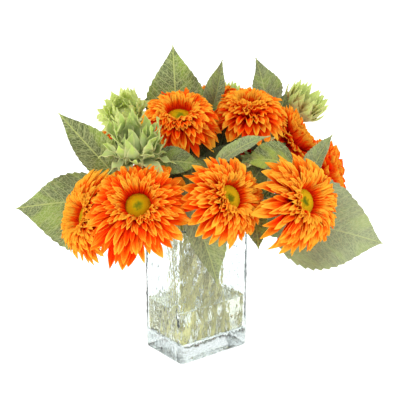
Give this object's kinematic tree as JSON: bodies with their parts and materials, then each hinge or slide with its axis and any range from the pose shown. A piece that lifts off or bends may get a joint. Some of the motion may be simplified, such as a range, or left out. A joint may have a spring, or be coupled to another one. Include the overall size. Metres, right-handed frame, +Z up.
{
  "type": "sunflowers in a vase",
  "caption": "Orange double sunflowers with green buds and toothed leaves, standing in water in a thick-floored rectangular glass vase turned corner to the front",
  "frame": {"origin": "middle of the vase's underside, on the surface it stands on", "axes": "+Z up; -Y is the front of the arrangement; the vase's long side is turned 37.6 degrees from +X about Z, so that a corner points to the front"},
  "size_m": [0.4218, 0.3427, 0.3592],
  "materials": {
    "petals": "soft matte orange petals",
    "disc": "velvety mustard florets",
    "foliage": "matte veined leaves and stems",
    "buds": "matte light green bracts",
    "glass": "clear glass with a rippled surface",
    "water": "clear still water"
  },
  "bodies": {
    "root": {"bud_back": "buds", "bud_front": "buds", "bud_left": "buds", "bud_right": "buds", "flower_back_left_disc": "disc", "flower_back_left_petals": "petals", "flower_back_left_stem": "foliage", "flower_back_middle_disc": "disc", "flower_back_middle_petals": "petals", "flower_back_middle_stem": "foliage", "flower_back_right_disc": "disc", "flower_back_right_petals": "petals", "flower_back_right_stem": "foliage", "flower_far_left_disc": "disc", "flower_far_left_petals": "petals", "flower_far_left_stem": "foliage", "flower_far_right_disc": "disc", "flower_far_right_petals": "petals", "flower_far_right_stem": "foliage", "flower_front_left_disc": "disc", "flower_front_left_petals": "petals", "flower_front_left_stem": "foliage", "flower_front_middle_disc": "disc", "flower_front_middle_petals": "petals", "flower_front_middle_stem": "foliage", "flower_front_right_disc": "disc", "flower_front_right_petals": "petals", "flower_front_right_stem": "foliage", "flower_top_back_disc": "disc", "flower_top_back_petals": "petals", "flower_top_back_stem": "foliage", "flower_top_left_disc": "disc", "flower_top_left_petals": "petals", "flower_top_left_stem": "foliage", "flower_top_right_disc": "disc", "flower_top_right_petals": "petals", "flower_top_right_stem": "foliage", "flower_upper_right_disc": "disc", "flower_upper_right_petals": "petals", "flower_upper_right_stem": "foliage", "vase": "glass", "water": "water"}
  },
  "joints": []
}
